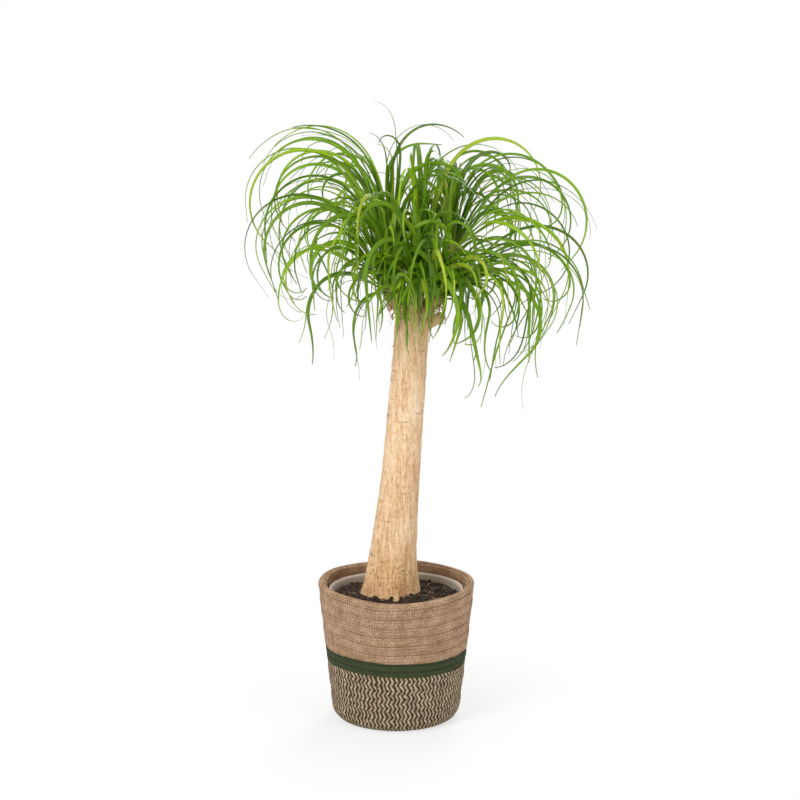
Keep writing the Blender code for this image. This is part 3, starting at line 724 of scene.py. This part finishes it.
shoots = {  # the head of each shoot, where its leaves grow from
    "front_right": (0.058, -0.022, 0.600), "front_left": (-0.008, -0.016, 0.606),
    "front_middle": (0.027, -0.036, 0.606), "back_right": (0.078, 0.020, 0.662),
    "back_left": (-0.004, 0.026, 0.646), "back_middle": (0.036, 0.034, 0.640),
}
leafRows = [  # shoot, azimuth, rise, shaft, radius, bend, drop, width, turn, roll, hook
    # the tall ones
    ("back_left", 185, 94, 0.110, 0.450, 15, 0.004, 0.012, 0, 20, 85),
    ("back_left", 5, 97, 0.135, 0.046, 160, 0.0, 0.013, 0, 10, 0),
    ("back_left", 178, 73, 0.175, 0.024, 170, 0.0, 0.007, 0, 10, 0),
    # high arcs to the left
    ("back_left", 176, 74, 0.120, 0.088, 134, 0.0, 0.006, 0, 20, 0),
    ("back_left", 190, 80, 0.115, 0.086, 100, 0.0, 0.006, 0, 10, 0),
    ("back_left", 200, 66, 0.115, 0.076, 200, 0.040, 0.009, -8, 10, 0),
    ("back_left", 165, 73, 0.115, 0.076, 205, 0.030, 0.008, 8, 20, 0),
    ("front_left", 172, 73, 0.150, 0.072, 165, 0.030, 0.008, 8, -15, 0),
    ("front_left", 190, 73, 0.118, 0.064, 170, 0.050, 0.009, -6, 20, 0),
    ("front_left", 184, 61, 0.110, 0.072, 185, 0.040, 0.008, 4, 25, 0),
    ("front_left", 205, 59, 0.110, 0.062, 170, 0.050, 0.009, -8, 10, 0),
    ("front_left", 195, 61, 0.073, 0.066, 150, 0.080, 0.009, 6, 15, 170),
    ("front_left", 160, 73, 0.110, 0.052, 185, 0.040, 0.009, 10, -10, 0),
    # low loops to the left
    ("front_left", 212, 37, 0.110, 0.044, 225, 0.0, 0.007, 6, 15, 0),
    ("front_left", 222, 76, 0.065, 0.056, 170, 0.070, 0.011, -10, 0, 0),
    ("front_left", 228, 66, 0.030, 0.040, 160, 0.070, 0.011, -8, 5, 0),
    ("front_left", 205, 30, 0.045, 0.052, 135, 0.060, 0.009, 8, 10, -30),
    ("front_left", 235, 8, 0.020, 0.045, 95, 0.070, 0.009, 6, 0, -30),
    # arcs to the right
    ("back_middle", 8, 78, 0.120, 0.068, 200, 0.0, 0.009, 6, 15, 0),
    ("back_right", -8, 82, 0.060, 0.072, 205, 0.020, 0.009, 8, 10, 0),
    ("back_right", 5, 55, 0.095, 0.070, 190, 0.030, 0.008, -6, -10, 0),
    ("back_right", 18, 67, 0.062, 0.078, 160, 0.040, 0.008, 8, 10, 0),
    ("back_right", -20, 50, 0.088, 0.082, 130, 0.0, 0.006, -4, 5, 0),
    ("front_right", 0, 45, 0.115, 0.066, 160, 0.050, 0.008, 6, -15, 0),
    ("front_right", -15, 38, 0.100, 0.070, 135, 0.060, 0.009, -6, 10, 0),
    ("back_right", -32, 34, 0.060, 0.078, 130, 0.060, 0.011, 6, 10, 0),
    ("front_right", 14, 36, 0.075, 0.058, 140, 0.080, 0.009, 8, 5, 30),
    ("front_right", -30, 32, 0.065, 0.052, 125, 0.070, 0.011, -6, -8, 0),
    # hanging low on the right
    ("front_right", -8, 42, 0.065, 0.060, 155, 0.140, 0.009, 6, 10, -40),
    ("front_right", -42, 28, 0.030, 0.050, 135, 0.070, 0.010, 6, 10, 0),
    ("front_right", -54, 6, 0.020, 0.040, 92, 0.100, 0.011, 0, 0, 70),
    # hanging in front
    ("front_left", 252, 80, 0.090, 0.052, 170, 0.060, 0.011, -8, 5, 0),
    ("front_middle", 236, 72, 0.045, 0.045, 165, 0.090, 0.011, -10, -5, 0),
    ("front_middle", 262, 60, 0.015, 0.028, 150, 0.050, 0.009, 8, 8, 0),
    ("front_middle", 288, 50, 0.012, 0.026, 140, 0.035, 0.009, 0, 0, 0),
    ("front_middle", 240, 18, 0.030, 0.042, 70, 0.030, 0.010, -6, 0, 0),
    ("back_middle", 284, 86, 0.125, 0.036, 165, 0.0, 0.010, 8, 10, 0),
    ("front_right", 262, 84, 0.090, 0.030, 130, 0.0, 0.010, 0, 5, 0),
    ("front_right", 300, 56, 0.040, 0.046, 150, 0.060, 0.011, -8, 0, 0),
    ("front_middle", 300, 76, 0.075, 0.052, 165, 0.060, 0.011, 10, 5, 0),
    ("front_right", 336, 58, 0.060, 0.056, 155, 0.070, 0.010, 10, -8, 0),
    ("front_middle", 266, 72, 0.110, 0.074, 165, 0.050, 0.011, -6, 8, 0),
    # over the back
    ("back_right", 60, 88, 0.080, 0.032, 125, 0.0, 0.010, 0, 5, 0),
    ("back_right", 118, 84, 0.088, 0.028, 115, 0.0, 0.010, 0, -5, 0),
    ("back_middle", 90, 74, 0.110, 0.076, 175, 0.040, 0.010, 8, 10, 0),
    ("back_middle", 62, 66, 0.085, 0.074, 170, 0.050, 0.010, 10, 5, 0),
    ("back_middle", 130, 58, 0.075, 0.070, 165, 0.060, 0.010, -10, -10, 0),
    ("back_left", 118, 70, 0.095, 0.072, 175, 0.060, 0.009, -10, 10, 0),
    ("back_left", 95, 50, 0.060, 0.062, 150, 0.080, 0.010, 8, 5, 0),
    ("back_right", 50, 60, 0.075, 0.068, 160, 0.070, 0.010, 10, -5, 0),
    ("back_right", 100, 74, 0.075, 0.064, 170, 0.060, 0.010, -8, 5, 0),
    ("back_middle", 100, 34, 0.040, 0.056, 130, 0.090, 0.010, -8, 5, 0),
]
crown = {
    "head": 0.0135,
    "seed": 7, "companions": 2, "fills": 56, "sideFills": 96, "uprights": 34,
    "rowsPerLeaf": 44, "thickness": 0.00045,
    "widthShare": 0.80,       # of a row's stated width
    "twist": (10, 85),        # degrees that a blade turns over along its length
    "wander": (0.002, 0.008), # how far a blade strays from its arc
    "thread": 0.0006,         # half width of the dried tip
    "channel": 0.26,          # depth of the V for a half width
    "sideMargin": 0.006,
}


def heading(azimuth, rise):
    a, r = math.radians(azimuth), math.radians(rise)
    return Vector((math.cos(r) * math.cos(a), math.cos(r) * math.sin(a), math.sin(r)))


def leafCurve(row, head, rows):  # places and cross directions down one arching leaf
    shoot, azimuth, rise, shaft, radius, bend, drop, width, turn, roll, hook = row
    length = shaft + radius * math.radians(bend) + drop
    ease = shaft * 0.6
    at = Vector(head) + heading(azimuth, min(rise, 60)) * crown["head"] * 0.4
    stations = []
    for i in range(rows):
        share = i / (rows - 1)
        run = min(share * length, length - drop)
        u = max(0.0, (run - shaft + ease) / (2 * ease))
        bent = 2 * ease * (u ** 3 - u ** 4 / 2) if u < 1 else run - shaft
        curl = hook * max(0.0, (share - 0.72) / 0.28) ** 2
        way = heading(azimuth + turn * share, rise - math.degrees(bent / radius) - curl)
        side = heading(azimuth + turn * share + 90, 0)
        side = (side - way * side.dot(way)).normalized()
        face = way.cross(side)
        tilt = math.radians(roll * share)
        side, face = (side * math.cos(tilt) + face * math.sin(tilt),
                      face * math.cos(tilt) - side * math.sin(tilt))
        stations.append((at.copy(), way, side, face, share))
        at += way * (length / (rows - 1))
    return stations


def leafBlade(row, head, mix, grow=1.0):
    # a grooved closed strip: five points over the top and three beneath
    c = crown
    stations = leafCurve(row, head, c["rowsPerLeaf"])
    half = 0.5 * row[7] * c["widthShare"] * grow
    phase, sway = mix.uniform(0, 6.28), mix.uniform(*c["wander"])
    twist = math.radians(mix.choice((-1, 1)) * mix.uniform(*c["twist"]))
    points, uvs = [], []
    across = (-1.0, -0.5, 0.0, 0.5, 1.0, 0.5, 0.0, -0.5)
    under = (0, 0, 0, 0, 0, 1, 1, 1)
    for at, way, side, face, share in stations:
        taper = min(1.0, 0.75 + share * 2.5) * (1 - max(0.0, (share - 0.20) / 0.80) ** 1.35)
        wide = c["thread"] + (half - c["thread"]) * max(0.0, taper)
        groove = c["channel"] * (1.2 - 0.8 * share)
        drift = side * (sway * share ** 1.5 * math.sin(phase + share * 6.0))
        drift += face * (0.5 * sway * share * math.sin(phase * 1.7 + share * 9.0))
        rise = min(1.0, max(0.0, (share - 0.05) / 0.45))
        turned = twist * rise * rise * (3 - 2 * rise) * (1 + 0.35 * math.sin(phase + share * 5.0))
        side, face = (side * math.cos(turned) + face * math.sin(turned),
                      face * math.cos(turned) - side * math.sin(turned))
        for a, low in zip(across, under):
            lift = wide * groove * abs(a) - low * c["thickness"] * (1.0 if share < 0.9 else 0.7)
            points.append(at + drift + side * (wide * a) + face * lift)
            uvs.append(((a + 1) / 2, share))
    return points, uvs


def bladeFaces(start, rows, around=8):
    faces = []
    for i in range(rows - 1):
        for k in range(around):
            n = (k + 1) % around
            a, b = start + i * around, start + (i + 1) * around
            faces.append((a + k, b + k, b + n, a + n))
    faces.append(tuple(start + k for k in range(around)))
    faces.append(tuple(start + (rows - 1) * around + k for k in reversed(range(around))))
    return faces


def clear(points):  # inside the part's own box, and not through the stem or into the basket
    margin = crown["sideMargin"]
    for p in points:
        for k in range(3):
            if p[k] < cadLow[k] - margin or p[k] > cadHigh[k] + margin:
                return False
        if p.z < 0.225 and math.hypot(p.x, p.y) < 0.13:
            return False
        if p.z < 0.56:
            radius, shift = stemAt(p.z)
            if math.hypot(p.x - shift, p.y) < radius + 0.0015:
                return False
    return True


def leafLook():
    look = Look("palmLeaf")
    across, along = look.sheetUv("leafUv")
    tone, tip = look.sheetUv("leafTone")
    place = look.place()
    blot = look.cloud(place, 55.0, 2.0, 0.5)
    lines = (across * 38.0 + tone * 7.0).sin() * 0.5 + 0.5
    fine = (across * 117.0 + tone * 3.0).sin() * 0.5 + 0.5
    green = look.ramp(tone + (blot - 0.5) * 0.35,
                      [(0.10, (0.048, 0.105, 0.002)), (0.35, (0.130, 0.255, 0.002)),
                       (0.60, (0.260, 0.440, 0.003)), (0.85, (0.430, 0.610, 0.008)),
                       (1.0, (0.600, 0.660, 0.060))])
    base = along.step(0.10, 0.01)
    pale = look.blend(base * 0.75, green, (0.560, 0.640, 0.160))
    striped = look.blend(lines * fine * 0.22, pale, (0.60, 0.75, 0.22))
    ends = (along + (blot - 0.5) * 0.10).step(0.80, 1.02)
    grey = look.blend(ends * 0.45, striped, (0.230, 0.300, 0.120))
    dead = ((along + tip * 0.35) + (blot - 0.5) * 0.06).step(1.20, 1.30)
    brown = look.blend(dead, grey, (0.430, 0.330, 0.080))
    relief = lines * 0.6 + fine * 0.4
    look.set(Base_Color=brown, Roughness=0.30 + dead * 0.45 + blot * 0.12,
             Normal=look.bump(relief, 0.22, 0.0004))
    look.set(Specular_IOR_Level=0.48)
    through = look.add("ShaderNodeBsdfTranslucent", {}, {"Color": (0.560, 0.860, 0.010)})
    look.mixInto(0.38 - dead * 0.26 - ends * 0.12, through)
    return look


def nearestShoot(node):
    corners = [Vector(v.co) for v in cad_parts[node].data.vertices]
    return min(shoots, key=lambda name: min((v - Vector(shoots[name])).length for v in corners))


def makeLeaves():
    c = crown
    mix = random.Random(c["seed"])
    batches = {name: ([], [], [], []) for name in shoots}
    kept = 0

    def keep(row, grow=1.0):
        blade, uvs = leafBlade(row, shoots[row[0]], mix, grow)
        if not clear(blade):
            return 0
        points, faces, sheet, tones = batches[row[0]]
        start = len(points)
        points += blade
        faces += bladeFaces(start, c["rowsPerLeaf"])
        sheet += uvs
        tone, tip = min(1.0, max(0.0, mix.gauss(0.48, 0.26))), mix.random() ** 1.5
        tones += [(tone, tip)] * len(blade)
        return 1

    for row in leafRows:
        kept += keep(row)
        for n in range(c["companions"]):
            kept += keep(varied(row, mix, 1.6), mix.uniform(0.50, 0.90))
    names = list(shoots)
    for n in range(c["fills"]):
        kept += keep(varied(mix.choice(leafRows), mix, 2.2), mix.uniform(0.5, 0.9))
    for n in range(c["sideFills"]):
        front = n % 3 > 0
        name = mix.choice(("front_middle", "front_left", "front_right") if front
                          else ("back_middle", "back_left", "back_right"))
        kept += keep((name, mix.uniform(185, 350) - (0 if front else 180),
                      mix.uniform(20, 84), mix.uniform(0.020, 0.085),
                      mix.uniform(0.026, 0.058), mix.uniform(110, 175), mix.uniform(0.0, 0.060),
                      mix.uniform(0.009, 0.013), mix.gauss(0, 14), mix.gauss(0, 12), mix.gauss(0, 70)))
    for n in range(c["uprights"]):
        kept += keep((mix.choice(names), mix.uniform(0, 360), mix.uniform(62, 88), mix.uniform(0.060, 0.125),
                      mix.uniform(0.024, 0.060), mix.uniform(120, 190), mix.uniform(0.0, 0.050),
                      mix.uniform(0.009, 0.013), mix.gauss(0, 30), mix.gauss(0, 20), mix.gauss(0, 40)))
    look = leafLook()
    owners = {name: [] for name in names}
    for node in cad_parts:
        if node.startswith("leaf_"):
            owners[nearestShoot(node)].append(node)
    for name in names:
        points, faces, sheet, tones = batches[name]
        order = [i for face in faces for i in face]
        maps = {"leafUv": np.array(sheet)[order], "leafTone": np.array(tones)[order]}
        piece = buildMesh("leaves_" + name, points, faces, look, maps)
        fit(piece, "leaf", *owners[name])
    print("crown of", kept, "leaves")


def varied(row, mix, much):  # a neighbour of one leaf, a little different in every way
    shoot, azimuth, rise, shaft, radius, bend, drop, width, turn, roll, hook = row
    return (shoot, azimuth + mix.gauss(0, 7 * much), rise + mix.gauss(0, 4 * much),
            shaft * mix.uniform(1 - 0.22 * much, 1.04),
            radius * mix.uniform(1 - 0.16 * much, 1.0 + 0.06 * much),
            bend * mix.uniform(0.82, 1.08), drop * mix.uniform(0.5, 1.2), width, turn + mix.gauss(0, 6),
            roll + mix.gauss(0, 14), hook + mix.gauss(0, 8) + mix.choice((0, 0, 1)) * mix.uniform(-60, 170))


def tube(path, radii, around=18, rough=0.0):  # a round branch through points, capped
    points, faces = [], []
    for i, (at, radius) in enumerate(zip(path, radii)):
        way = (path[min(i + 1, len(path) - 1)] - path[max(i - 1, 0)]).normalized()
        side = way.orthogonal().normalized()
        other = way.cross(side)
        for k in range(around):
            a = 2 * math.pi * k / around
            out = side * math.cos(a) + other * math.sin(a)
            p = at + out * radius
            points.append(p + out * rough * ripple(p.x, p.y, p.z, 260))
    for i in range(len(path) - 1):
        for k in range(around):
            n = (k + 1) % around
            faces.append((i * around + k, i * around + n, (i + 1) * around + n, (i + 1) * around + k))
    faces.append(tuple(reversed(range(around))))
    faces.append(tuple((len(path) - 1) * around + k for k in range(around)))
    return points, faces


def shootLook():
    look = Look("shootBase")
    place = look.place()
    bands = look.cloud(look.stretched(place, (1.0, 1.0, 0.35)), 210.0, 3.0, 0.6)
    height = look.add("ShaderNodeSeparateXYZ", {}, {0: place}, 2)
    tone = look.ramp(bands, [(0.32, (0.085, 0.062, 0.018)), (0.46, (0.200, 0.190, 0.040)),
                             (0.60, (0.360, 0.380, 0.080)), (0.74, (0.520, 0.460, 0.180))])
    lower = look.blend(height.step(0.605, 0.570), tone, (0.560, 0.360, 0.170))
    return look.set(Base_Color=lower, Roughness=0.62, Normal=look.bump(bands, 0.5, 0.001))


def driedLook():
    look = Look("driedLeaf")
    tone = look.cloud(look.place(), 150.0, 3.0, 0.6)
    base = look.ramp(tone, [(0.30, (0.230, 0.105, 0.030)), (0.48, (0.480, 0.250, 0.080)),
                            (0.66, (0.700, 0.470, 0.210))])
    return look.set(Base_Color=base, Roughness=0.66, Normal=look.bump(tone, 0.4, 0.0006))


branching = {
    "stemX": 0.0225, "footZ": 0.560,      # where the shoots leave the stem
    "footSpread": 0.25,       # share of a head's distance that its foot stands out
    "bow": 0.006, "rough": 0.0018,
    "thick": (0.0110, 0.0090, 0.0105),    # radius at the foot, halfway and at the head
    "tip": ((0.004, 0.0095), (0.009, 0.007), (0.013, 0.003)),   # past the head: distance, radius
    "stubFrom": (0.038, -0.012, 0.560), "stubWay": (0.026, -0.018, 0.018),
    "stubRadii": [0.0072] * 7 + [0.0060], "stubRough": 0.0014,
}


def makeShoots():
    b = branching
    stems = []
    along = np.linspace(0, 1, 12)
    for head in shoots.values():
        head = Vector(head)
        foot = Vector((b["stemX"] + (head.x - b["stemX"]) * b["footSpread"],
                       head.y * b["footSpread"], b["footZ"]))
        path = [foot.lerp(head, t) + Vector((0, 0, b["bow"] * math.sin(math.pi * t))) for t in along]
        path += [head + (head - foot).normalized() * far for far, radius in b["tip"]]
        radii = list(np.interp(along, [0, 0.5, 1], b["thick"])) + [radius for far, radius in b["tip"]]
        stems.append(tube(path, radii, 28, b["rough"]))
    stubFrom, stubWay = Vector(b["stubFrom"]), Vector(b["stubWay"])
    stub = [stubFrom + stubWay * t for t in np.linspace(0, 1, len(b["stubRadii"]))]
    stems.append(tube(stub, b["stubRadii"], 26, b["stubRough"]))
    points, faces = gather(stems)
    fit(buildMesh("shootBases", points, faces, shootLook()), "bark", "trunk")


def ribbon(path, half, side):  # a thin dried strip with two faces
    points, faces = [], []
    for i, at in enumerate(path):
        way = (path[min(i + 1, len(path) - 1)] - path[max(i - 1, 0)]).normalized()
        flat = (side - way * side.dot(way)).normalized()
        out = way.cross(flat)
        wide = half * (1 - 0.8 * (i / (len(path) - 1)) ** 2)
        for s, t in ((-1, 0.0), (0, -0.0006), (1, 0.0), (0, 0.0004)):
            points.append(at + flat * wide * s + out * t)
    for i in range(len(path) - 1):
        for k in range(4):
            n = (k + 1) % 4
            faces.append((i * 4 + k, i * 4 + n, (i + 1) * 4 + n, (i + 1) * 4 + k))
    faces.append((3, 2, 1, 0))
    last = (len(path) - 1) * 4
    faces.append((last, last + 1, last + 2, last + 3))
    return points, faces


dried = {
    "seed": 21, "count": 26, "points": 18,
    "length": (0.016, 0.040), "halfWidth": (0.0006, 0.0024),
    "curl": (8, 26),          # degrees from each point to the next
    "stray": 0.003,           # how far a curl may begin from its place
    "starts": [
        (0.020, -0.022, 0.572), (0.004, -0.020, 0.575), (-0.006, -0.018, 0.585),
        (0.046, -0.020, 0.574), (0.060, -0.024, 0.582), (0.034, -0.028, 0.580),
        (0.010, -0.030, 0.588), (0.055, -0.034, 0.590),
    ],
}


def makeDried():
    d = dried
    mix = random.Random(d["seed"])
    parts = []
    for n in range(d["count"]):
        start = Vector(d["starts"][n % len(d["starts"])])
        at = start + Vector([mix.gauss(0, d["stray"]) for _ in range(3)])
        azimuth = mix.uniform(200, 340)
        rise = mix.uniform(-20, 40)
        curl = mix.uniform(*d["curl"]) * mix.choice((-1, 1))
        path = []
        length = mix.uniform(*d["length"])
        for i in range(d["points"]):
            path.append(at.copy())
            at = at + heading(azimuth, rise) * (length / (d["points"] - 1))
            rise -= curl
            azimuth += mix.uniform(-6, 10)
        parts.append(ribbon(path, mix.uniform(*d["halfWidth"]), heading(azimuth + 80, 20)))
    points, faces = gather(parts)
    fit(buildMesh("driedCurls", points, faces, driedLook()), "leaf")
    print("shoots and dried curls done")


makeStudio()
makeBasket()
makePot()
makeStem()
makeSoil()
makeLeaves()
makeShoots()
makeDried()
